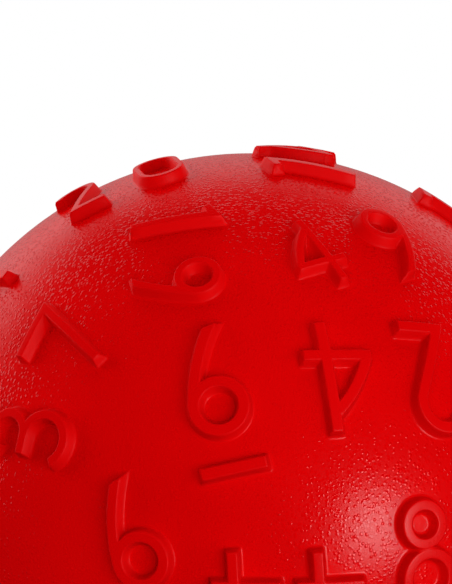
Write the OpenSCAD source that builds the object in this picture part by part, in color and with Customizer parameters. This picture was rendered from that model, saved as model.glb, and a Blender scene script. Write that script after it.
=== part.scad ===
// Soft sensory ball: a hollow moulded skin with raised numbers all over it,
// a rubber valve seat bonded into the back, and the plug that closes the valve.
// Millimetres, +Z up. The origin is the centre of the ball. The front of the
// ball faces -Y and the valve faces +Y.

/* [Ball] */
// Radius of the plain skin between the numbers
ball_r = 100; // [80:1:120]
// Thickness of the skin
wall = 1.8; // [1.4:0.1:3]
// How far the number under the ball is pressed flat where the ball rests
rest_flat = 1; // [0.6:0.1:1.4]

/* [Numbers] */
// How far the numbers stand out of the skin
relief = 3; // [2:0.1:4]
// Height of a digit of size 1
digit_h = 30; // [24:0.5:36]
// Width of a digit's strokes at half their height, for a digit of size 1
stroke = 3.5; // [2.8:0.1:4.2]

/* [Valve] */
// Diameter of the hole in the skin that the seat is bonded into
seat_d = 13; // [12:0.1:16]
// Diameter of the seat's flange against the inside of the skin
flange_d = 28; // [22:0.5:34]
// Thickness of the flange at its middle
flange_t = 3; // [2.4:0.1:3.6]
// How far the seat reaches into the ball from the outside of the skin
seat_len = 15; // [12:0.5:18]
// Diameter of the plug's shank
plug_d = 5; // [4:0.1:6]
// Diameter of the plug's head
head_d = 9; // [7.5:0.1:9.5]
// Thickness of the plug's head
head_t = 1.6; // [1.3:0.1:2]

/* [Hidden] */
$fn = 96;

red = [0.80, 0.01, 0.01];
dark_red = [0.60, 0.02, 0.02];
white = [0.93, 0.93, 0.90];

top_r = ball_r + relief;
inner_r = ball_r - wall;
half = stroke / 2;

// Digits are drawn 30 high and then scaled to their size
glyph_h = 30;
glyph_top = glyph_h / 2;
// Sideways room that a digit takes in a number, less for a 1 than for the rest
digit_room = 22;
one_room = 14;
// How far one stroke of a digit runs into the next
lap = 1;
// The bar that tells a 6 from a 9 is drawn like an eleventh digit
bar = 10;

// Digits on the front, each with its azimuth, elevation, spin and size
front_digits = [
    [6, -5.3, 23, 4, 1], [bar, -2.2, 10.3, 12.6, 1],
    [2, 30.2, 23, 174, 1], [4, 13.3, 23.4, 180, 0.98],
    [4, 13.5, 44.7, 18, 0.77], [9, 32.2, 47, -4, 0.83],
    [1, -17.3, 51.4, -75.5, 0.85], [9, -13.8, 39.3, -88, 0.8],
    [3, -34.6, 14.4, 84, 0.88], [7, -31.8, 29.6, 78, 0.84],
    [2, -60, 57.8, 62, 0.82], [0, -41, 68, 52, 0.7],
    [1, 25, 68.4, 61, 0.88], [4, 46, 79.2, 75, 0.88],
    [1, 70, 53.4, 6, 0.95], [5, -60.5, 32.6, 0, 0.95],
    [6, -16.6, 1, 14.5, 0.95], [8, 25.6, -2, 8, 0.92],
    [1, -58, -5, 0, 0.95], [3, -48, -5, 0, 0.95]
];

// Rows of numbers round the rest of the ball: elevation, first azimuth,
// azimuth step, first spin, spin step and the numbers
row_size = 0.94;
number_rows = [
    [64, 160, 60, 340, 0, [30, 11]],
    [43, 100, 43, 150, 215, [25, 40, 18, 2]],
    [21, 55, 30, 280, 145, [33, 16, 41, 28, 3, 47, 10, 36]],
    [-9, 5, 0, 180, 0, [44]],
    [-6, 57, 28, 200, 215, [31, 7, 45, 22]],
    [-6, 219, 28, 250, 110, [38, 12, 50]],
    [-34, 4, 360 / 11, 100, 145, [42, 17, 29, 4, 35, 48, 21, 39, 15, 26, 27]],
    [-62, 20, 72, 140, 110, [34, 46, 23, 32, 43]],
    [-90, 0, 0, 0, 0, [0]]
];

// Thickness of the bond between the seat and the skin
bond = 0.05;
// Clearance round the plug's shank, and under its head
plug_fit = 0.05;
// Gap round the plug's head, and how far the head lies below the skin
head_gap = 0.4;
head_sink = 0.2;
// The notch in the seat that lets a fingernail under the plug's head
notch_r = 1.6;
// Sealing grooves round the shank, and the taper at its tip
groove_count = 3;
groove_w = 1.2;
groove_depth = 0.4;
tip_len = 2.5;
tip_share = 0.6;

head_base = ball_r - head_sink - head_t;
recess_floor = head_base - plug_fit;
seat_end = ball_r - seat_len;
shank_len = head_base - seat_end;

module place(azimuth, elevation, spin) {
    rotate([90 - elevation, 0, azimuth])
        rotate([0, 0, spin])
            children();
}

// Straight strokes through a list of points, with mitred corners and square ends
function unit(v) = v / norm(v);
function left_of(v) = [-v.y, v.x];
function run(path, i) = left_of(unit(path[i + 1] - path[i]));
function mitre(a, b) = (a + b) / (1 + a * b);
function edge_at(path, i) =
    i == 0 ? run(path, 0)
    : i == len(path) - 1 ? run(path, i - 1)
    : mitre(run(path, i - 1), run(path, i));

module line(path) {
    last = len(path) - 1;
    near_edge = [for (i = [0 : last]) path[i] + half * edge_at(path, i)];
    far_edge = [for (i = [last : -1 : 0]) path[i] - half * edge_at(path, i)];
    polygon(concat(near_edge, far_edge));
}

module ring(centre, r) {
    translate(centre)
        difference() {
            circle(r + half);
            circle(r - half);
        }
}

// Part of a ring, anticlockwise between two angles
module bend(centre, r, from, to) {
    reach = 2 * (r + half);
    steps = ceil((to - from) / 60);
    fan = [for (i = [0 : steps]) from + (to - from) * i / steps];
    intersection() {
        ring(centre, r);
        translate(centre)
            polygon(concat([[0, 0]], [for (a = fan) reach * [cos(a), sin(a)]]));
    }
}

module zero() {
    r = 7.8;
    y = glyph_top - half - r;
    bend([0, y], r, 0, 180);
    bend([0, -y], r, 180, 360);
    for (x = [-r, r])
        line([[x, -y], [x, y]]);
}

module one() {
    line([[-5.2, 8.8], [0, 11.6], [0, -glyph_top]]);
}

module two() {
    r = 6.4;
    centre = [-1, glyph_top - half - r];
    lean = -21;
    slope = [sin(lean), -cos(lean)];
    start = centre + r * [cos(lean), sin(lean)];
    foot_y = half - glyph_top;
    foot = start + slope * (start.y - foot_y) / cos(lean);
    bend(centre, r, lean + 3, 165);
    line([start - lap * slope, foot, [9.5, foot_y]]);
}

module three() {
    x = -0.8;
    waist = 1.2;
    upper_r = (glyph_top - half - waist) / 2;
    lower_r = (glyph_top - half + waist) / 2;
    bend([x, waist + upper_r], upper_r, -90, 150);
    bend([x, waist - lower_r], lower_r, -150, 90);
    line([[x - 5.5, waist], [x + lap, waist]]);
}

module four() {
    bar_y = -5.5;
    leg_r = 36;
    line([[8.5, bar_y], [-10, bar_y]]);
    bend([26, bar_y - 10.5], leg_r, 134, 162);
    line([[1, glyph_top], [3, -glyph_top]]);
}

module five() {
    r = 7.6;
    x = -5.6;
    line([[7.5, glyph_top - half], [x, glyph_top - half], [x, 0.6]]);
    bend([-1, r + half - glyph_top], r, -145, 128);
}

// The tail of a 6 is cut off along a slanting line through its tip
module six() {
    r = 6.2;
    tail_r = 55;
    tip = [-1.2, 14.6];
    slant = 20;
    centre = [0.8, r + half - glyph_top];
    ring(centre, r);
    intersection() {
        bend([centre.x - r + tail_r, centre.y], tail_r, 152, 180);
        translate(tip)
            rotate(slant)
                translate([-glyph_h / 2, -glyph_h])
                    square(glyph_h);
    }
}

module seven() {
    line([[-11, glyph_top - half], [6.4, glyph_top - half], [-4.5, -glyph_top]]);
}

module eight() {
    upper_r = 5.2;
    lower_r = 6.7;
    ring([0, glyph_top - half - upper_r], upper_r);
    ring([0, lower_r + half - glyph_top], lower_r);
}

module underline() {
    line([[-8.5, 0], [8.5, 0]]);
}

module digit(n) {
    if (n == 0) zero();
    if (n == 1) one();
    if (n == 2) two();
    if (n == 3) three();
    if (n == 4) four();
    if (n == 5) five();
    if (n == 6) six();
    if (n == 7) seven();
    if (n == 8) eight();
    if (n == 9) rotate(180) six();
    if (n == bar) underline();
}

// A digit as a straight-sided block through the skin. The skin's module trims
// its outside to the numbers' own sphere and its inside to the hollow.
module raised_digit(n, size) {
    block_h = ball_r / 5;
    translate([0, 0, ball_r - block_h / 2])
        linear_extrude(block_h)
            scale(size * digit_h / glyph_h)
                digit(n);
}

function room(n) = n == 1 ? one_room : digit_room;
function turn_for(length) = length / ball_r * 180 / PI;

// The digits of a number stand side by side round the ball
module raised_number(value, size) {
    tens = floor(value / 10);
    units = value % 10;
    scale_up = size * digit_h / glyph_h;
    if (tens == 0) {
        raised_digit(units, size);
    } else {
        rotate([0, -turn_for(scale_up * room(units) / 2), 0])
            raised_digit(tens, size);
        rotate([0, turn_for(scale_up * room(tens) / 2), 0])
            raised_digit(units, size);
    }
}

module all_numbers() {
    for (d = front_digits)
        place(d[1], d[2], d[3])
            raised_digit(d[0], d[4]);
    for (row = number_rows)
        for (i = [0 : len(row[5]) - 1])
            place(row[1] + i * row[2], row[0], row[3] + i * row[4])
                raised_number(row[5][i], row_size);
}

// Turns +Z to the valve's own direction
module valve_axis() {
    rotate([-90, 0, 0])
        children();
}

module ball_skin() {
    rest_z = rest_flat - top_r;
    color(red)
        difference() {
            union() {
                sphere(ball_r);
                intersection() {
                    sphere(top_r);
                    all_numbers();
                }
            }
            sphere(inner_r);
            valve_axis()
                translate([0, 0, inner_r / 2])
                    cylinder(h = ball_r, d = seat_d);
            translate([-ball_r, -ball_r, rest_z - ball_r])
                cube([2 * ball_r, 2 * ball_r, ball_r]);
        }
}

module valve_seat() {
    color(dark_red)
        valve_axis()
            difference() {
                union() {
                    intersection() {
                        sphere(ball_r);
                        translate([0, 0, seat_end])
                            cylinder(h = 2 * seat_len, d = seat_d - 2 * bond);
                    }
                    intersection() {
                        sphere(inner_r - bond);
                        translate([0, 0, inner_r - flange_t])
                            cylinder(h = 2 * flange_t, d = flange_d);
                    }
                }
                translate([0, 0, seat_end - lap])
                    cylinder(h = 2 * seat_len, d = plug_d + 2 * plug_fit);
                translate([0, 0, recess_floor])
                    cylinder(h = seat_len, d = head_d + 2 * head_gap);
                translate([head_d / 2, 0, recess_floor])
                    cylinder(h = seat_len, r = notch_r);
            }
}

module valve_plug() {
    groove_step = (shank_len - tip_len) / (groove_count + 1);
    color(white)
        valve_axis()
            difference() {
                union() {
                    intersection() {
                        sphere(ball_r - head_sink);
                        translate([0, 0, head_base])
                            cylinder(h = 2 * head_t, d = head_d);
                    }
                    translate([0, 0, seat_end + tip_len])
                        cylinder(h = shank_len - tip_len + head_t / 2, d = plug_d);
                    translate([0, 0, seat_end])
                        cylinder(h = tip_len, d1 = tip_share * plug_d, d2 = plug_d);
                }
                for (i = [1 : groove_count])
                    translate([0, 0, head_base - i * groove_step - groove_w / 2])
                        rotate_extrude()
                            translate([plug_d / 2 - groove_depth, 0])
                                square([plug_d, groove_w]);
            }
}

ball_skin();
valve_seat();
valve_plug();
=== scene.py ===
import math

import bmesh
import bpy
import numpy as np
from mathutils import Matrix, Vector
from mathutils.geometry import delaunay_2d_cdt


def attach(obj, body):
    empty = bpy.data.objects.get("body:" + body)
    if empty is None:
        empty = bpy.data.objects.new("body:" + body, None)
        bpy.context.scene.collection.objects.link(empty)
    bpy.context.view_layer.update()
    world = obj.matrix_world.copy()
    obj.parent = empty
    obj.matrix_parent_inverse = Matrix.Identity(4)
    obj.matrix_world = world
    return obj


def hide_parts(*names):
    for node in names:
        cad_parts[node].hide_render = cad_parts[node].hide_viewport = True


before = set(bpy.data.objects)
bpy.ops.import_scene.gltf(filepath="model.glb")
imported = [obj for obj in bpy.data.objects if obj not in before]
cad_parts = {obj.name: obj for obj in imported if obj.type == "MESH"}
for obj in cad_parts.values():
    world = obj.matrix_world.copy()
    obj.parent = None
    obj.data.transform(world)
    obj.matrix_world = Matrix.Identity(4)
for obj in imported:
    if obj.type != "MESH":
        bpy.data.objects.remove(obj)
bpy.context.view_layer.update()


# The skin is one hollow moulding of soft red vinyl. The numbers stand out of it as part of the same
# moulding, with drafted walls that run into the skin, smooth where the skin between them is pebbled.
# It sets while the mould turns, and the two halves of the mould leave a fine line round it.
MM = 0.001
ball_r = 100.0
inner_r = 98.2
relief = 3.0
rest_z = -102.0
hole_r = 6.5
stroke_half = 1.75
glyph_top = 15.0
lap = 1.0
bar = 10
row_size = 0.94
digit_room = {1: 14.0}
usual_room = 22.0

# Each front digit with its azimuth, elevation, spin and size
front_digits = [
    (6, -5.3, 23, 4, 1), (bar, -2.2, 10.3, 12.6, 1),
    (2, 30.2, 23, 174, 1), (4, 13.3, 23.4, 180, 0.98),
    (4, 13.5, 44.7, 18, 0.77), (9, 32.2, 47, -4, 0.83),
    (1, -17.3, 51.4, -75.5, 0.85), (9, -13.8, 39.3, -88, 0.8),
    (3, -34.6, 14.4, 84, 0.88), (7, -31.8, 29.6, 78, 0.84),
    (2, -60, 57.8, 62, 0.82), (0, -41, 68, 52, 0.7),
    (1, 25, 68.4, 61, 0.88), (4, 46, 79.2, 75, 0.88),
    (1, 70, 53.4, 6, 0.95), (5, -60.5, 32.6, 0, 0.95),
    (6, -16.6, 1, 14.5, 0.95), (8, 25.6, -2, 8, 0.92),
    (1, -58, -5, 0, 0.95), (3, -48, -5, 0, 0.95),
]

# Rows of numbers: elevation, first azimuth, azimuth step, first spin, spin step and the numbers
number_rows = [
    (64, 160, 60, 340, 0, (30, 11)),
    (43, 100, 43, 150, 215, (25, 40, 18, 2)),
    (21, 55, 30, 280, 145, (33, 16, 41, 28, 3, 47, 10, 36)),
    (-9, 5, 0, 180, 0, (44,)),
    (-6, 57, 28, 200, 215, (31, 7, 45, 22)),
    (-6, 219, 28, 250, 110, (38, 12, 50)),
    (-34, 4, 360 / 11, 100, 145, (42, 17, 29, 4, 35, 48, 21, 39, 15, 26, 27)),
    (-62, 20, 72, 140, 110, (34, 46, 23, 32, 43)),
    (-90, 0, 0, 0, 0, (0,)),
]


def polar(centre, r, degrees):
    angle = math.radians(degrees)
    return (centre[0] + r * math.cos(angle), centre[1] + r * math.sin(angle))


def line(*points):
    """Distance from a straight stroke through the points, with mitred corners and square ends."""
    path = np.array(points, float)
    along = np.diff(path, axis=0)
    along /= np.linalg.norm(along, axis=1)[:, None]
    left = np.c_[-along[:, 1], along[:, 0]]
    before = np.r_[left[:1], left]
    after = np.r_[left, left[-1:]]
    mitre = (before + after) / (1 + (before * after).sum(1))[:, None]
    outline = np.r_[path + stroke_half * mitre, (path - stroke_half * mitre)[::-1]]

    def distance(p):
        nearest = np.full(len(p), np.inf)
        inside = np.zeros(len(p), bool)
        for a, b in zip(outline, np.roll(outline, -1, axis=0)):
            edge, to_p = b - a, p - a
            share = np.clip(to_p @ edge / (edge @ edge), 0, 1)
            nearest = np.minimum(nearest, np.linalg.norm(to_p - share[:, None] * edge, axis=1))
            crosses = (a[1] > p[:, 1]) != (b[1] > p[:, 1])
            rise = np.where(crosses, b[1] - a[1], 1)
            inside ^= crosses & (to_p[:, 0] < edge[0] * to_p[:, 1] / rise)
        return np.where(inside, -nearest, nearest)
    return distance


def bend(centre, r, start, end):
    """Distance from a stroke along an arc, anticlockwise between two angles, with square ends."""
    middle = math.radians((start + end) / 2)
    reach = math.radians((end - start) / 2)

    def distance(p):
        away = p - centre
        out = np.linalg.norm(away, axis=1)
        turned = np.arctan2(away[:, 1], away[:, 0]) - middle
        past = np.abs((turned + np.pi) % (2 * np.pi) - np.pi) - reach
        side = np.abs(out - r) - stroke_half
        end_x, end_y = out * np.cos(past), out * np.sin(past)
        beyond = np.hypot(np.maximum(np.abs(end_x - r) - stroke_half, 0), end_y)
        within = np.where(past > -math.pi / 2, np.maximum(side, end_y), side)
        return np.where(past > 0, beyond, within)
    return distance


def ring(centre, r):
    """Distance from a stroke round a full circle."""
    return lambda p: np.abs(np.linalg.norm(p - centre, axis=1) - r) - stroke_half


def dot(centre):
    """Fills the joint between two strokes that meet end to end."""
    return lambda p: np.linalg.norm(p - np.array(centre), axis=1) - stroke_half


def cut(stroke, point, slant):
    """Distance from a stroke that is cut off above a slanting line through a point."""
    across = np.array(polar((0, 0), 1, slant + 90))
    return lambda p: np.maximum(stroke(p), (p - point) @ across)


def zero():
    r = 7.8
    y = glyph_top - stroke_half - r
    arcs = [bend((0, y), r, 0, 180), bend((0, -y), r, 180, 360)]
    sides = [line((x, -y), (x, y)) for x in (-r, r)]
    return arcs + sides + [dot((x, s)) for x in (-r, r) for s in (-y, y)]


def one():
    return [line((-5.2, 8.8), (0, 11.6), (0, -glyph_top))]


def two():
    r, lean = 6.4, -21
    centre = (-1, glyph_top - stroke_half - r)
    start = polar(centre, r, lean)
    foot_y = stroke_half - glyph_top
    foot_x = start[0] + math.tan(math.radians(lean)) * (start[1] - foot_y)
    return [bend(centre, r, lean, 165), dot(start), line(start, (foot_x, foot_y), (9.5, foot_y))]


def three():
    x, waist = -0.8, 1.2
    upper_r = (glyph_top - stroke_half - waist) / 2
    lower_r = (glyph_top - stroke_half + waist) / 2
    upper = bend((x, waist + upper_r), upper_r, -90, 150)
    lower = bend((x, waist - lower_r), lower_r, -150, 90)
    return [upper, lower, line((x - 5.5, waist), (x + lap, waist)), dot((x, waist))]


def four():
    bar_y = -5.5
    leg = bend((26, bar_y - 10.5), 36, 134, 162)
    return [leg, line((8.5, bar_y), (-10, bar_y)), line((1, glyph_top), (3, -glyph_top))]


def five():
    r, x, top = 7.6, -5.6, glyph_top - stroke_half
    return [line((7.5, top), (x, top), (x, 0.6)), bend((-1, r - top), r, -145, 128)]


def six():
    r, tail_r = 6.2, 55
    tip, slant = (-1.2, 14.6), 20
    centre = (0.8, r + stroke_half - glyph_top)
    tail = bend((centre[0] - r + tail_r, centre[1]), tail_r, 152, 180)
    return [ring(centre, r), cut(tail, tip, slant)]


def seven():
    top = glyph_top - stroke_half
    return [line((-11, top), (6.4, top), (-4.5, -glyph_top))]


def eight():
    upper_r, lower_r = 5.2, 6.7
    upper = ring((0, glyph_top - stroke_half - upper_r), upper_r)
    return [upper, ring((0, lower_r + stroke_half - glyph_top), lower_r)]


def nine():
    return [lambda p, stroke=stroke: stroke(-p) for stroke in six()]


def underline():
    return [line((-8.5, 0), (8.5, 0))]


shapes = (zero, one, two, three, four, five, six, seven, eight, nine, underline)
glyphs = [shape() for shape in shapes]


def glyph_distance(digit, p):
    """Distance of points from the edge of a digit, negative on the digit."""
    return np.min([stroke(p) for stroke in glyphs[digit]], axis=0)


def turn(axis, degrees):
    """Matrix of a turn about X, Y or Z, which are 0, 1 and 2."""
    c, s = math.cos(math.radians(degrees)), math.sin(math.radians(degrees))
    i, j = (axis + 1) % 3, (axis + 2) % 3
    m = np.eye(3)
    m[i, i] = m[j, j] = c
    m[i, j], m[j, i] = -s, s
    return m


def placed(azimuth, elevation, spin):
    return turn(2, azimuth) @ turn(0, 90 - elevation) @ turn(2, spin)


def number_digits(value, place, size):
    """The digits of a number, side by side round the ball."""
    tens, units = divmod(value, 10)
    if tens == 0:
        return [(units, place, size)]
    room = [size * digit_room.get(d, usual_room) / 2 / ball_r for d in (tens, units)]
    left = turn(1, -math.degrees(room[1]))
    right = turn(1, math.degrees(room[0]))
    return [(tens, place @ left, size), (units, place @ right, size)]


digits = [(d, placed(az, el, spin), size) for d, az, el, spin, size in front_digits]
for el, az, az_step, spin, spin_step, values in number_rows:
    for i, value in enumerate(values):
        place = placed(az + i * az_step, el, spin + i * spin_step)
        digits += number_digits(value, place, row_size)

# A number's wall, across its edge: where its slope starts and ends, and the rounds at its foot and crest
wall_foot = 0.45
wall_crest = -0.35
foot_round = 1.6
crest_round = 1.4
edge_levels = (-0.8, -0.58, -0.46, -0.35, -0.22, 0.1, 0.3, 0.5, 0.8, 1.3)
middle_r = ball_r + relief / 2
glyph_reach = np.array((13.0, 18.5))
cell = 0.4
grid_margin = 1.5
search_margin = 6.0
edge_slack = 0.022
longest_edge = 3.2
far_off = 50.0
same_point = 1e-7
shortest_chord = 1e-9


def contours(field, level):
    """Closed loops, in grid steps, along which a sampled field has one value."""
    above = field > level
    links = {}

    def crossing(a, b):
        share = (level - field[a]) / (field[b] - field[a])
        return (a[0] + share * (b[0] - a[0]), a[1] + share * (b[1] - a[1]))

    corners_above = above[:-1, :-1].astype(int) + above[1:, :-1] + above[:-1, 1:] + above[1:, 1:]
    for i, j in zip(*np.nonzero((corners_above > 0) & (corners_above < 4))):
        corners = [(i, j), (i + 1, j), (i + 1, j + 1), (i, j + 1)]
        sides = list(zip(corners, corners[1:] + corners[:1]))
        crossed = [tuple(sorted(side)) for side in sides if above[side[0]] != above[side[1]]]
        if len(crossed) == 4 and above[i, j] == (np.mean([field[c] for c in corners]) > level):
            crossed = crossed[1:] + crossed[:1]
        for a, b in zip(crossed[0::2], crossed[1::2]):
            links.setdefault(a, []).append(b)
            links.setdefault(b, []).append(a)
    loops = []
    while links:
        here, (there, _) = next(iter(links.items()))
        loop = [here]
        while there != loop[0]:
            ahead = [k for k in links[there] if k != here]
            here, there = there, ahead[0] if ahead else loop[0]
            loop.append(here)
        for side in loop:
            links.pop(side)
        loops.append(np.array([crossing(*side) for side in loop]))
    return loops


def thinned(loop):
    """The points of a closed loop that its shape needs."""
    ahead = np.roll(loop, -1, axis=0) - loop
    behind = loop - np.roll(loop, 1, axis=0)
    bends = np.abs(ahead[:, 0] * behind[:, 1] - ahead[:, 1] * behind[:, 0])
    loop = np.roll(loop, -int(np.argmax(bends)), axis=0)
    loop = np.r_[loop, loop[:1]]
    kept, start = [0], 0
    for end in range(2, len(loop)):
        chord = loop[end] - loop[start]
        length = max(np.linalg.norm(chord), shortest_chord)
        between = loop[start + 1:end] - loop[start]
        off = np.abs(between[:, 0] * chord[1] - between[:, 1] * chord[0]) / length
        if length > longest_edge or off.max() > edge_slack:
            start = end - 1
            kept.append(start)
    return loop[kept]


def on_ball(place, flat):
    """Directions of points that are given in the plane of a digit."""
    height = np.sqrt(middle_r**2 - (flat**2).sum(1))
    return np.c_[flat, height] @ place.T / middle_r


def edge_distance(directions):
    """Distance in mm from the nearest number's edge, negative on a number."""
    nearest = np.full(len(directions), far_off)
    for d, place, size in digits:
        local = directions @ place * middle_r
        in_reach = np.abs(local[:, :2]) < size * glyph_reach + search_margin
        close = (local[:, 2] > 0) & in_reach.all(1)
        found = size * glyph_distance(d, local[close, :2] / size)
        nearest[close] = np.minimum(nearest[close], found)
    return nearest


def digit_edges():
    """Loops along the walls of every number."""
    steps = np.round(2 * (glyph_reach + grid_margin) / cell).astype(int) + 1
    low = -(steps - 1) * cell / 2
    axes = [low[k] + cell * np.arange(steps[k]) for k in range(2)]
    grid = np.stack(np.meshgrid(*axes, indexing="ij"), -1).reshape(-1, 2)
    fields = [glyph_distance(d, grid).reshape(steps) for d in range(len(glyphs))]
    found = []
    for d, place, size in digits:
        for level in edge_levels:
            for loop in contours(fields[d], level / size):
                flat = thinned(size * (low + cell * loop))
                if len(flat) > 2:
                    found.append(on_ball(place, flat))
    return found


def circle_round_y(offset, level, count):
    """Directions round the Y axis at a share of the radius along it and away from it."""
    angle = np.arange(count) * 2 * math.pi / count
    return np.c_[level * np.cos(angle), np.full(count, offset), level * np.sin(angle)]


def circle_round_valve(radius, sphere_r):
    level = radius / sphere_r
    return circle_round_y(math.sqrt(1 - level**2), level, rim_count)


def even_points(spacing):
    """Directions spread evenly over the ball, each with a hexagon of room."""
    hexagon = 0.866 * spacing**2
    count = int(4 * math.pi * ball_r**2 / hexagon)
    k = np.arange(count) + 0.5
    height = 1 - 2 * k / count
    angle = k * math.pi * (3 - math.sqrt(5))
    level = np.sqrt(1 - height**2)
    return np.c_[level * np.cos(angle), level * np.sin(angle), height]


def off_valve(directions, radius):
    return (directions[:, 1] < 0) | (np.hypot(directions[:, 0], directions[:, 2]) * ball_r > radius)


# The valve's hole is at +Y, so the ball is spread out flat from there to be cut into triangles
def spread(directions):
    return directions[:, (0, 2)] / (1 - directions[:, 1:2])


def gathered(flat):
    square = (flat**2).sum(1)
    return np.c_[2 * flat[:, 0], square - 1, 2 * flat[:, 1]] / (square + 1)[:, None]


def triangulated(loops, loose):
    """Triangles over the ball that keep the loops' edges, as directions and faces facing outwards."""
    points = np.concatenate(loops + [loose])
    edges, first = [], 0
    for loop in loops:
        ids = np.arange(first, first + len(loop))
        edges += zip(ids.tolist(), np.roll(ids, -1).tolist())
        first += len(loop)
    flat = [Vector(p) for p in spread(points)]
    flat, _, faces, sources, *_ = delaunay_2d_cdt(flat, edges, [], 0, same_point, True)
    directions = gathered(np.array([tuple(p) for p in flat]))
    for i, source in enumerate(sources):
        if source:
            directions[i] = points[source[0]]
    faces = np.array(faces)
    a, b, c = (directions[faces[:, k]] for k in range(3))
    inward = (np.cross(b - a, c - a) * a).sum(1) < 0
    faces[inward] = faces[inward][:, ::-1]
    return directions, faces


seam_half = 0.35
seam_height = 0.1
seam_count = 320
rim_round = 0.5
rim_count = 96
rim_rings = 5
skin_spacing = 3.2
inside_spacing = 8.0
number_clearance = 0.8
seam_clearance = 2.0
rim_clearance = 1.0
inside_clearance = 2.0
loops = digit_edges()
for offset in (-seam_half / ball_r, 0, seam_half / ball_r):
    loops.append(circle_round_y(offset, math.sqrt(1 - offset**2), seam_count))
for k in range(rim_rings):
    loops.append(circle_round_valve(hole_r + rim_round * k / (rim_rings - 1), ball_r))
loose = even_points(skin_spacing)
off_numbers = edge_distance(loose) > edge_levels[-1] + number_clearance
off_seam = np.abs(loose[:, 1]) * ball_r > seam_clearance
off_rim = off_valve(loose, hole_r + rim_round + rim_clearance)
loose = loose[off_numbers & off_seam & off_rim]
directions, faces = triangulated(loops, loose)

skin_mesh = bpy.data.meshes.new("ball_skin_form")
skin_mesh.from_pydata((directions * ball_r * MM).tolist(), [], faces.tolist())
to_edge = skin_mesh.attributes.new("edge_distance", "FLOAT", "POINT")
to_edge.data.foreach_set("value", (edge_distance(directions) * MM).astype(np.float32))
skin = bpy.data.objects.new("ball_skin_vinyl", skin_mesh)
bpy.context.scene.collection.objects.link(skin)


class Wire:
    """A node's output that can be reckoned with like a number."""

    def __init__(self, tree, socket):
        self.tree = tree
        self.socket = socket

    def __add__(self, other):
        return self.tree.maths("ADD", self, other)

    def __radd__(self, other):
        return self.tree.maths("ADD", other, self)

    def __sub__(self, other):
        return self.tree.maths("SUBTRACT", self, other)

    def __rsub__(self, other):
        return self.tree.maths("SUBTRACT", other, self)

    def __mul__(self, other):
        return self.tree.maths("MULTIPLY", self, other)

    def __rmul__(self, other):
        return self.tree.maths("MULTIPLY", other, self)

    def __truediv__(self, other):
        return self.tree.maths("DIVIDE", self, other)

    def __abs__(self):
        return self.tree.maths("ABSOLUTE", self)

    def step(self, low, high):
        """Runs smoothly from 0 at low to 1 at high."""
        smooth = {"interpolation_type": "SMOOTHSTEP"}
        return self.tree.put("ShaderNodeMapRange", smooth, self, low, high, 0.0, 1.0)[0]


class Tree:
    """A node tree that nodes are put into one by one."""

    def __init__(self, nodes):
        self.nodes = nodes

    def put(self, kind, settings, *inputs, **named):
        """Adds a node: its settings, then its sockets by number or name. Returns the outputs in use."""
        node = self.nodes.nodes.new(kind)
        for key, value in settings.items():
            setattr(node, key, value)
        by_name = [(key.replace("_", " "), value) for key, value in named.items()]
        for key, value in [*enumerate(inputs), *by_name]:
            if isinstance(value, Wire):
                self.nodes.links.new(value.socket, node.inputs[key])
            else:
                node.inputs[key].default_value = value
        return [Wire(self, out) for out in node.outputs if out.enabled]

    def maths(self, operation, *terms):
        return self.put("ShaderNodeMath", {"operation": operation}, *terms)[0]

    def vectors(self, operation, *terms, **named):
        return self.put("ShaderNodeVectorMath", {"operation": operation}, *terms, **named)[0]

    def parts(self, vector):
        return self.put("ShaderNodeSeparateXYZ", {}, vector)

    def mixed(self, share, a, b):
        """A colour between two."""
        return self.put("ShaderNodeMix", {"data_type": "RGBA"}, Factor=share, A=a, B=b)[0]


def new_material(name):
    material = bpy.data.materials.new(name)
    material.use_nodes = True
    material.node_tree.nodes.clear()
    return material, Tree(material.node_tree)


def srgb(r, g, b):
    """A colour as a screen shows it, from 0 to 255, as a linear colour."""
    shares = [c / 255 for c in (r, g, b)]
    return tuple(c / 12.92 if c <= 0.04045 else ((c + 0.055) / 1.055) ** 2.4 for c in shares) + (1.0,)


# The vinyl is bright red through and through. Small round pebbles cover the skin between the numbers and
# stop short of the valve. They are tallest round the sides, and worn low at the front and the back.
pebble_pitch = 1.0 * MM
pebble_share = 0.46
pebble_height = 0.11 * MM
near_surface = (0.32, 0.38)
number_margin = (1.1 * MM, 1.8 * MM)
valve_margin = (8.5 * MM, 9.5 * MM)
worn_part = (0.65 * ball_r * MM, 0.92 * ball_r * MM)
least_height, least_wear = 0.55, 0.38
extra_height, extra_wear = 0.85, 0.35
smooth_rough = 0.24
dome_polish = 0.13
dome_flank = (0.0, 0.3)
wall_dulling = 0.3
wall_margin = (0.4 * MM, 0.9 * MM)
cloud_dulling = 0.04
vinyl, nodes = new_material("red_vinyl")
where = nodes.put("ShaderNodeTexCoord", {})[3]
edge = nodes.put("ShaderNodeAttribute", {"attribute_name": "edge_distance"})[2]
x, y, z = nodes.parts(where)
round_valve = nodes.maths("SQRT", x * x + z * z).step(*valve_margin)
front = 1 - y.step(0.0, 1 * MM)
pebbled = edge.step(*number_margin) * nodes.maths("MAXIMUM", round_valve, front)

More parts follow.
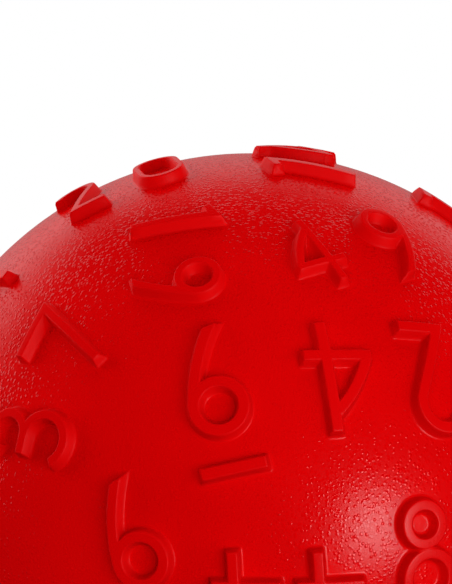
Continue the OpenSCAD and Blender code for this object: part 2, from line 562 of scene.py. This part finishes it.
# A pebble is a dome over each of many random points, where the point lies near enough to the surface
cells = nodes.put("ShaderNodeTexVoronoi", {}, Vector=where, Scale=1 / pebble_pitch)
chance = nodes.parts(cells[1])[0]
off_surface = (nodes.vectors("LENGTH", cells[2]) - ball_r * MM) / pebble_pitch
across = (cells[0] * cells[0] - off_surface * off_surface) / pebble_share**2
dome = nodes.maths("MAXIMUM", 1 - across, 0.0) * (1 - abs(off_surface).step(*near_surface))
worn = abs(y).step(*worn_part)
least = least_height - worn * least_wear
extra = extra_height - worn * extra_wear
height = dome * (least + chance * chance * extra) * pebbled
grain = nodes.put("ShaderNodeBump", {}, Strength=1.0, Distance=pebble_height, Height=height)[0]
cloud = nodes.put("ShaderNodeTexNoise", {}, Vector=where, Scale=26.0, Detail=4.0)[0]
red = nodes.mixed(cloud.step(0.3, 0.7), srgb(202, 0, 2), srgb(209, 1, 3))
on_dome = dome.step(*dome_flank) * pebbled
on_wall = 1 - abs(edge).step(*wall_margin)
rough = smooth_rough - on_dome * dome_polish + on_wall * wall_dulling + (cloud - 0.5) * cloud_dulling
shader = nodes.put("ShaderNodeBsdfPrincipled", {}, Base_Color=red, Roughness=rough, Normal=grain, IOR=1.5)[0]
nodes.put("ShaderNodeOutputMaterial", {}, shader)

# One rule shapes the outside: it raises the numbers, by each point's distance to the nearest number's edge,
# and the mould line, eases the rim of the valve's hole, and presses the lowest number flat.
sizes = {
    "Relief": relief, "Wall foot": wall_foot, "Wall crest": wall_crest,
    "Foot round": foot_round, "Crest round": crest_round, "Rest height": rest_z,
    "Seam half": seam_half, "Seam height": seam_height, "Rim radius": hole_r, "Rim round": rim_round,
}
group = bpy.data.node_groups.new("raise_numbers", "GeometryNodeTree")
group.interface.new_socket("Geometry", in_out="INPUT", socket_type="NodeSocketGeometry")
sockets = {
    name: group.interface.new_socket(name, in_out="INPUT", socket_type="NodeSocketFloat") for name in sizes}
group.interface.new_socket("Geometry", in_out="OUTPUT", socket_type="NodeSocketGeometry")
tree = Tree(group)
form, *wires = tree.put("NodeGroupInput", {})[:-1]
given = dict(zip(sizes, wires))
edge = tree.put("GeometryNodeInputNamedAttribute", {"data_type": "FLOAT"}, "edge_distance")[0]
position = tree.put("GeometryNodeInputPosition", {})[0]
x, y, z = tree.parts(position)
slope = given["Relief"] / (given["Wall foot"] - given["Wall crest"])
wall = tree.maths("SMOOTH_MAX", (given["Wall foot"] - edge) * slope, 0.0, given["Foot round"])
wall = tree.maths("SMOOTH_MIN", wall, given["Relief"], given["Crest round"])
seam = (1 - abs(y) / given["Seam half"]).step(0.0, 1.0) * given["Seam height"]
past_rim = tree.maths("SQRT", x * x + z * z) - given["Rim radius"]
near_rim = tree.maths("MAXIMUM", 1 - past_rim / given["Rim round"], 0.0)
valve_side = y.step(0.0, 10 * MM)
dip = near_rim * near_rim * given["Rim round"] * valve_side
outward = tree.vectors("NORMALIZE", position)
raised = tree.vectors("ADD", position, tree.vectors("SCALE", outward, Scale=wall + seam - dip))
x, y, z = tree.parts(raised)
pressed = tree.put("ShaderNodeCombineXYZ", {}, x, y, tree.maths("MAXIMUM", z, given["Rest height"]))[0]
form = tree.put("GeometryNodeSetPosition", {}, form, Position=pressed)[0]
form = tree.put("GeometryNodeSetShadeSmooth", {}, form)[0]
form = tree.put("GeometryNodeRealizeInstances", {}, form)[0]
form = tree.put("GeometryNodeSetMaterial", {}, form, Material=vinyl)[0]
tree.put("NodeGroupOutput", {}, form)

modifier = skin.modifiers.new("raise_numbers", "NODES")
modifier.node_group = group
for name, size in sizes.items():
    modifier[sockets[name].identifier] = size * MM
bpy.context.view_layer.update()
raised_skin = skin.evaluated_get(bpy.context.evaluated_depsgraph_get())
outside = bpy.data.meshes.new_from_object(raised_skin)
skin.modifiers.clear()
skin.data = outside


def open_edge(form):
    """The points along a form's open edges, in order round the valve's axis."""
    found = {v for e in form.edges if e.is_boundary for v in e.verts}
    return sorted(found, key=lambda v: math.atan2(v.co.z, v.co.x) % (2 * math.pi))


# The inside of the skin, joined to the outside round the valve's hole
loose = even_points(inside_spacing)
loose = loose[off_valve(loose, hole_r + inside_clearance)]
directions, faces = triangulated([circle_round_valve(hole_r, inner_r)], loose)
shell = bmesh.new()
shell.from_mesh(outside)
edge_layer = shell.verts.layers.float["edge_distance"]
rim = open_edge(shell)
inner = [shell.verts.new(p) for p in (directions * inner_r * MM).tolist()]
for vert in inner:
    vert[edge_layer] = far_off * MM
for face in faces.tolist():
    shell.faces.new([inner[i] for i in reversed(face)]).smooth = True
outer_rim = set(rim)
inner_rim = [v for v in open_edge(shell) if v not in outer_rim]
for k in range(rim_count):
    after = (k + 1) % rim_count
    shell.faces.new((rim[k], rim[after], inner_rim[after], inner_rim[k]))
bmesh.ops.recalc_face_normals(shell, faces=shell.faces)
shell.to_mesh(outside)
shell.free()
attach(skin, "ball")
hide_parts("ball_skin")


# The valve seat is a thick tube of dark red rubber with a flange. It is bonded into the hole in the skin,
# with the flange against the inside, and grips the plug in its bore.
seat_r = 6.45
bore_r = 2.55
flange_r = 14.0
flange_top_r = 98.15
flange_low = 95.2
seat_end = 85.0
recess_floor = 98.15
recess_r = 4.9
notch_at = 4.5
notch_r = 1.6
lip_round = 0.25
lip_share = 0.4
turned_count = 128


def on_sphere(sphere_r, radius):
    return (radius, math.sqrt(sphere_r**2 - radius**2))


def eased(corners, closed):
    """An outline through corners given with the size of their rounds."""
    outline = []
    for i, (corner, size) in enumerate(corners):
        corner = np.array(corner)
        if size == 0 or (not closed and i in (0, len(corners) - 1)):
            outline.append(corner)
            continue
        sides = [np.array(corners[j % len(corners)][0]) - corner for j in (i - 1, i + 1)]
        start, end = (corner + side * size / np.linalg.norm(side) for side in sides)
        for t in (0, 0.25, 0.5, 0.75, 1):
            outline.append((1 - t) ** 2 * start + 2 * t * (1 - t) * corner + t**2 * end)
    return outline


def turned_piece(name, outline_at, closed, material):
    """A piece turned round the valve's axis, from its outline at each angle."""
    form = bmesh.new()
    angles = [2 * math.pi * k / turned_count for k in range(turned_count)]
    rings = []
    for angle in angles:
        c, s = math.cos(angle) * MM, math.sin(angle) * MM
        rings.append([form.verts.new((r * c, y * MM, r * s)) for r, y in eased(outline_at(angle), closed)])
    for a, b in zip(rings, rings[1:] + rings[:1]):
        for i in range(0 if closed else 1, len(a)):
            form.faces.new((a[i - 1], a[i], b[i], b[i - 1])).smooth = True
    bmesh.ops.remove_doubles(form, verts=form.verts, dist=same_point)
    bmesh.ops.recalc_face_normals(form, faces=form.faces)
    mesh = bpy.data.meshes.new(name)
    form.to_mesh(mesh)
    form.free()
    mesh.materials.append(material)
    piece = bpy.data.objects.new(name, mesh)
    bpy.context.scene.collection.objects.link(piece)
    return piece


def seat_outline(angle):
    """The seat's section, with its recess widened by the notch that lets a fingernail under the plug."""
    across = notch_at * math.sin(angle)
    in_notch = math.cos(angle) > 0 and abs(across) < notch_r
    notch = notch_at * math.cos(angle) + math.sqrt(notch_r**2 - across**2) if in_notch else 0
    wide = max(recess_r, notch)
    lip = min(lip_round, lip_share * (seat_r - wide))
    return [
        ((bore_r, seat_end), 0.3), ((seat_r, seat_end), 0.5),
        ((seat_r, flange_low), 0.6), ((flange_r, flange_low), 0.5),
        (on_sphere(flange_top_r, flange_r), 0.4), (on_sphere(flange_top_r, seat_r), 0.1),
        (on_sphere(ball_r, seat_r), lip), (on_sphere(ball_r, wide), lip),
        ((wide, recess_floor), 0.2), ((bore_r, recess_floor), 0.25),
    ]


rubber, nodes = new_material("dark_red_rubber")
where = nodes.put("ShaderNodeTexCoord", {})[3]
bloom = nodes.put("ShaderNodeTexNoise", {}, Vector=where, Scale=160.0, Detail=5.0)[0]
speck = nodes.put("ShaderNodeTexNoise", {}, Vector=where, Scale=1500.0, Detail=3.0)[0]
colour = nodes.mixed(bloom.step(0.3, 0.72), srgb(140, 6, 8), srgb(158, 12, 13))
grain = nodes.put("ShaderNodeBump", {}, Strength=1.0, Distance=0.03 * MM, Height=speck)[0]
rough = 0.46 + (bloom - 0.5) * 0.2
shader = nodes.put("ShaderNodeBsdfPrincipled", {}, Base_Color=colour, Roughness=rough, Normal=grain)[0]
nodes.put("ShaderNodeOutputMaterial", {}, shader)
seat = turned_piece("valve_seat_rubber", seat_outline, True, rubber)
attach(seat, "ball")
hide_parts("valve_seat")


# The plug is moulded in one piece from white plastic: a low head on a straight shank, which has a tapered
# tip and three sealing grooves. It is pushed into the seat by hand, and pulled out to inflate the ball.
plug_r = 2.5
head_r = 4.5
head_base = 98.2
head_top_r = 99.8
tip_r = 1.5
tip_len = 2.5
groove_count = 3
groove_w = 1.2
groove_depth = 0.4
tip_round = 0.4
shank_round = 0.3
groove_round = 0.15
head_round = 0.45
ring_pitch = 0.3 * MM
shank_len = head_base - seat_end
groove_step = (shank_len - tip_len) / (groove_count + 1)


def plug_outline(angle):
    """The plug's section from its tip to the middle of its head, the same at every angle."""
    floor_r = plug_r - groove_depth
    corners = [((0, seat_end), 0), ((tip_r, seat_end), tip_round)]
    corners.append(((plug_r, seat_end + tip_len), shank_round))
    for i in range(groove_count, 0, -1):
        low = head_base - i * groove_step - groove_w / 2
        high = low + groove_w
        for corner in ((plug_r, low), (floor_r, low), (floor_r, high), (plug_r, high)):
            corners.append((corner, groove_round))
    corners += [((plug_r, head_base), shank_round), ((head_r, head_base), shank_round)]
    corners.append((on_sphere(head_top_r, head_r), head_round))
    return corners + [(on_sphere(head_top_r, head_r / 2), 0), ((0, head_top_r), 0)]


plastic, nodes = new_material("white_plastic")
where = nodes.put("ShaderNodeTexCoord", {})[3]
x, _, z = nodes.parts(where)
flow = nodes.put("ShaderNodeTexNoise", {}, Vector=where, Scale=300.0, Detail=4.0)[0]
ringed = nodes.maths("SINE", nodes.maths("SQRT", x * x + z * z) * (2 * math.pi / ring_pitch))
colour = nodes.mixed(flow.step(0.3, 0.7), srgb(232, 231, 224), srgb(240, 240, 235))
marks = nodes.put("ShaderNodeBump", {}, Strength=1.0, Distance=0.004 * MM, Height=ringed + flow)[0]
rough = 0.42 + (flow - 0.5) * 0.2
shader = nodes.put("ShaderNodeBsdfPrincipled", {}, Base_Color=colour, Roughness=rough, Normal=marks)[0]
nodes.put("ShaderNodeOutputMaterial", {}, shader)
plug = turned_piece("valve_plug_plastic", plug_outline, False, plastic)
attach(plug, "plug")
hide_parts("valve_plug")


# The studio is a pale floor in a white room. One softbox, low on the right, shows in the skin, and the other
# lamps only fill. The camera stands a little above the middle of the ball, and is turned so that the ball
# fills the lower part of the frame.
floor_reach = 1.2
floor_gap = 0.0001
floor_z = rest_z * MM - floor_gap
corners = [(-1, -1), (1, -1), (1, 1), (-1, 1)]
floor_mesh = bpy.data.meshes.new("floor")
floor_mesh.from_pydata([(x * floor_reach, y * floor_reach, floor_z) for x, y in corners], [], [range(4)])
floor = bpy.data.objects.new("floor", floor_mesh)
bpy.context.scene.collection.objects.link(floor)
pale, nodes = new_material("pale_floor")
shader = nodes.put("ShaderNodeBsdfPrincipled", {}, Base_Color=srgb(236, 236, 236), Roughness=0.7)[0]
nodes.put("ShaderNodeOutputMaterial", {}, shader)
floor_mesh.materials.append(pale)
floor.visible_glossy = False
floor.visible_diffuse = False
floor.visible_shadow = False


def round_ball(azimuth, elevation):
    a, e = math.radians(azimuth), math.radians(elevation)
    return Vector((math.sin(a) * math.cos(e), -math.cos(a) * math.cos(e), math.sin(e)))


def set_up(name, data, stands_at, looks_along):
    obj = bpy.data.objects.new(name, data)
    obj.location = stands_at
    obj.rotation_mode = "QUATERNION"
    obj.rotation_quaternion = looks_along.to_track_quat("-Z", "Y")
    bpy.context.scene.collection.objects.link(obj)
    return obj


def softbox(name, azimuth, elevation, distance, size, radiance, mirrored):
    """A lamp turned to the ball, as bright to look at as its radiance says."""
    lamp = bpy.data.lights.new(name, "AREA")
    lamp.shape = "RECTANGLE"
    lamp.size, lamp.size_y = size
    lamp.energy = radiance * math.pi * size[0] * size[1]
    lamp.cycles.use_multiple_importance_sampling = mirrored
    out = round_ball(azimuth, elevation)
    set_up(name, lamp, out * distance, -out).visible_glossy = mirrored


softbox("softbox_right", 37, -2, 1.0, (0.26, 0.28), 4.7, True)
softbox("key_right", 58, 0, 1.3, (1.0, 1.0), 1.7, False)
softbox("fill_front", 8, -2, 1.5, (1.6, 1.2), 3.5, False)
softbox("fill_left", -110, 20, 1.5, (1.6, 1.2), 4.2, False)
softbox("fill_top", 180, 75, 1.5, (1.6, 1.6), 1.9, False)
softbox("fill_back", 140, 35, 1.6, (1.8, 1.4), 2.6, False)

# Round the ball the room is dark in front and bright behind, so that the skin shines towards its outline
dark_level = 0.006
backdrop_level = 0.69
backdrop_edge = (0.52, 0.74)
backdrop_middle = (0.7, 1.0)
backdrop_top = (0.45, 0.85)
left_side = (0.4, 0.9)
horizon = (-0.2, 0.05)
left_reach = 0.3
middle_loss = 0.62
right_loss = 0.2
top_loss = 0.38
world = bpy.data.worlds.new("white_room")
bpy.context.scene.world = world
world.use_nodes = True
world.cycles.sampling_method = "NONE"
world.node_tree.nodes.clear()
nodes = Tree(world.node_tree)
is_camera = nodes.put("ShaderNodeLightPath", {})[0]
to_right, to_back, upward = nodes.parts(nodes.put("ShaderNodeTexCoord", {})[0])
leftward = (0 - to_right).step(*left_side)
behind = (to_back + leftward * left_reach).step(*backdrop_edge)
backdrop = behind * (1 - to_back.step(*backdrop_middle) * middle_loss) * (1 - to_right * right_loss)
fading = backdrop_level - upward.step(*backdrop_top) * top_loss
around = dark_level + backdrop * fading * upward.step(*horizon)
level = around + is_camera * (1 - around)
shine = nodes.put("ShaderNodeBackground", {}, (1, 1, 1, 1), level)[0]
nodes.put("ShaderNodeOutputWorld", {}, shine)

frame_px = (452, 584)
ball_px = (249.9, 503.7)
focal_px = 2440.5
camera_rise = 5.5
camera_distance = 0.7
camera_data = bpy.data.cameras.new("camera")
camera_data.sensor_width = 36
camera_data.lens = focal_px * camera_data.sensor_width / max(frame_px)
back = round_ball(0, camera_rise)
right = Vector((1, 0, 0))
aside = (ball_px[0] - frame_px[0] / 2) / focal_px
below = (ball_px[1] - frame_px[1] / 2) / focal_px
look = back.cross(right) * below - right * aside - back
bpy.context.scene.camera = set_up("camera", camera_data, back * camera_distance, look)
bpy.context.scene.view_settings.view_transform = "Standard"
